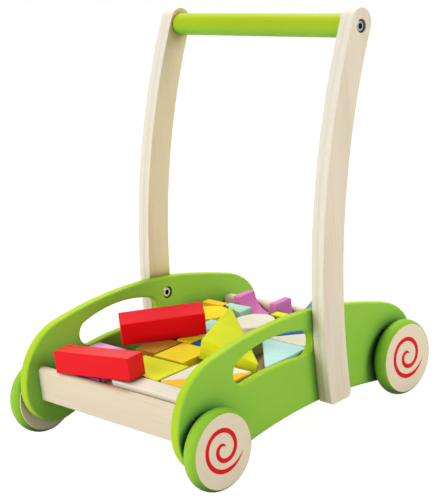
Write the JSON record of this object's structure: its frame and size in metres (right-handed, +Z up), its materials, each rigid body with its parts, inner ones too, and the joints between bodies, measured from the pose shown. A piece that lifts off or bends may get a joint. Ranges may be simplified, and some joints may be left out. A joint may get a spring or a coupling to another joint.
{
  "type": "baby walker",
  "caption": "Wooden push cart for a child learning to walk: bowed uprights with a round handle, rolling wheels, and a tray of loose painted blocks that lift out.",
  "frame": {"origin": "on the ground under the middle of the cart", "axes": "+Z up, front of the cart at -Y, its left side at +X"},
  "size_m": [0.31, 0.397, 0.4558],
  "materials": {
    "birch_ply": "clear lacquered birch plywood",
    "block_blue": "stained",
    "block_cream": "plain",
    "block_golden": "stained",
    "block_leaf": "stained",
    "block_lilac": "stained",
    "block_lime": "stained",
    "block_magenta": "stained",
    "block_mint": "stained",
    "block_natural": "plain",
    "block_orange": "stained",
    "block_pink": "stained",
    "block_red": "stained",
    "block_sky": "stained",
    "board_wood": "clear lacquered wood",
    "floor_ply": "clear lacquered plywood",
    "handle_green": "satin green lacquer",
    "nylon": "natural nylon",
    "panel_green": "satin green lacquer",
    "steel": "zinc plated",
    "tyre_green": "smooth",
    "wheel_wood": "clear lacquered wood",
    "zinc": "plain"
  },
  "bodies": {
    "cart": {"axle_bushes": "nylon", "barrel_nuts": "zinc", "block_amber": "block_golden", "block_golden": "block_golden", "block_green_slat": "block_leaf", "block_lime_slab": "block_lime", "block_magenta": "block_magenta", "block_mint": "block_mint", "block_plank": "block_natural", "block_post": "block_natural", "block_straw": "block_golden", "board_bolts": "steel", "front_board": "board_wood", "handle_bar": "handle_green", "handle_bolts": "steel", "handle_inserts": "zinc", "rear_board": "board_wood", "side_panel_left": "panel_green", "side_panel_right": "panel_green", "tray_floor": "floor_ply", "upright_bolts": "steel", "upright_inserts": "zinc", "upright_left": "birch_ply", "upright_right": "birch_ply"},
    "front_wheels": {"axle_front": "steel", "spacers_front": "nylon", "wheel_front_left": "wheel_wood", "wheel_front_right": "wheel_wood", "tyre_front_left": "tyre_green", "tyre_front_right": "tyre_green"},
    "rear_wheels": {"axle_rear": "steel", "spacers_rear": "nylon", "wheel_rear_left": "wheel_wood", "wheel_rear_right": "wheel_wood", "tyre_rear_left": "tyre_green", "tyre_rear_right": "tyre_green"},
    "block_aqua": {"block_aqua": "block_mint"},
    "block_blue_corner": {"block_blue_corner": "block_blue"},
    "block_blue_cube": {"block_blue_cube": "block_blue"},
    "block_bridge": {"block_bridge": "block_pink"},
    "block_cream_corner": {"block_cream_corner": "block_cream"},
    "block_cream_disc": {"block_cream_disc": "block_cream"},
    "block_cream_triangle": {"block_cream_triangle": "block_cream"},
    "block_lilac": {"block_lilac": "block_lilac"},
    "block_lime_slat": {"block_lime_slat": "block_lime"},
    "block_lime_triangle": {"block_lime_triangle": "block_lime"},
    "block_mint_wedge": {"block_mint_wedge": "block_mint"},
    "block_orange_slat": {"block_orange_slat": "block_orange"},
    "block_orange_triangle": {"block_orange_triangle": "block_orange"},
    "block_red_front": {"block_red_front": "block_red"},
    "block_red_middle": {"block_red_middle": "block_red"},
    "block_sky_triangle": {"block_sky_triangle": "block_sky"},
    "block_yellow_disc": {"block_yellow_disc": "block_golden"}
  },
  "joints": [
    {"name": "front_wheels_roll", "type": "hinge", "parent": "cart", "child": "front_wheels", "pos_m": [0, -0.153, 0.0447], "axis": [1, 0, 0], "continuous": true},
    {"name": "rear_wheels_roll", "type": "hinge", "parent": "cart", "child": "rear_wheels", "pos_m": [0, 0.1546, 0.0447], "axis": [1, 0, 0], "continuous": true},
    {"name": "aqua_lift", "type": "slide", "parent": "cart", "child": "block_aqua", "axis": [0, 0, 1], "range_m": [0, 0.06]},
    {"name": "blue_corner_lift", "type": "slide", "parent": "cart", "child": "block_blue_corner", "axis": [0, 0, 1], "range_m": [0, 0.06]},
    {"name": "blue_cube_lift", "type": "slide", "parent": "cart", "child": "block_blue_cube", "axis": [0, 0, 1], "range_m": [0, 0.06]},
    {"name": "bridge_lift", "type": "slide", "parent": "cart", "child": "block_bridge", "axis": [0, 0, 1], "range_m": [0, 0.06]},
    {"name": "cream_corner_lift", "type": "slide", "parent": "cart", "child": "block_cream_corner", "axis": [0, 0, 1], "range_m": [0, 0.06]},
    {"name": "cream_disc_lift", "type": "slide", "parent": "cart", "child": "block_cream_disc", "axis": [0, 0, 1], "range_m": [0, 0.06]},
    {"name": "cream_triangle_lift", "type": "slide", "parent": "cart", "child": "block_cream_triangle", "axis": [0, 0, 1], "range_m": [0, 0.06]},
    {"name": "lilac_lift", "type": "slide", "parent": "cart", "child": "block_lilac", "axis": [0, 0, 1], "range_m": [0, 0.06]},
    {"name": "lime_slat_lift", "type": "slide", "parent": "cart", "child": "block_lime_slat", "axis": [0, 0, 1], "range_m": [0, 0.06]},
    {"name": "lime_triangle_lift", "type": "slide", "parent": "cart", "child": "block_lime_triangle", "axis": [0, 0, 1], "range_m": [0, 0.06]},
    {"name": "mint_wedge_lift", "type": "slide", "parent": "cart", "child": "block_mint_wedge", "axis": [0, 0, 1], "range_m": [0, 0.06]},
    {"name": "orange_slat_lift", "type": "slide", "parent": "cart", "child": "block_orange_slat", "axis": [0, 0, 1], "range_m": [0, 0.06]},
    {"name": "orange_triangle_lift", "type": "slide", "parent": "cart", "child": "block_orange_triangle", "axis": [0, 0, 1], "range_m": [0, 0.06]},
    {"name": "red_front_lift", "type": "slide", "parent": "cart", "child": "block_red_front", "axis": [0, 0, 1], "range_m": [0, 0.06]},
    {"name": "red_middle_lift", "type": "slide", "parent": "cart", "child": "block_red_middle", "axis": [0, 0, 1], "range_m": [0, 0.06]},
    {"name": "sky_triangle_lift", "type": "slide", "parent": "cart", "child": "block_sky_triangle", "axis": [0, 0, 1], "range_m": [0, 0.06]},
    {"name": "yellow_disc_lift", "type": "slide", "parent": "cart", "child": "block_yellow_disc", "axis": [0, 0, 1], "range_m": [0, 0.06]}
  ]
}
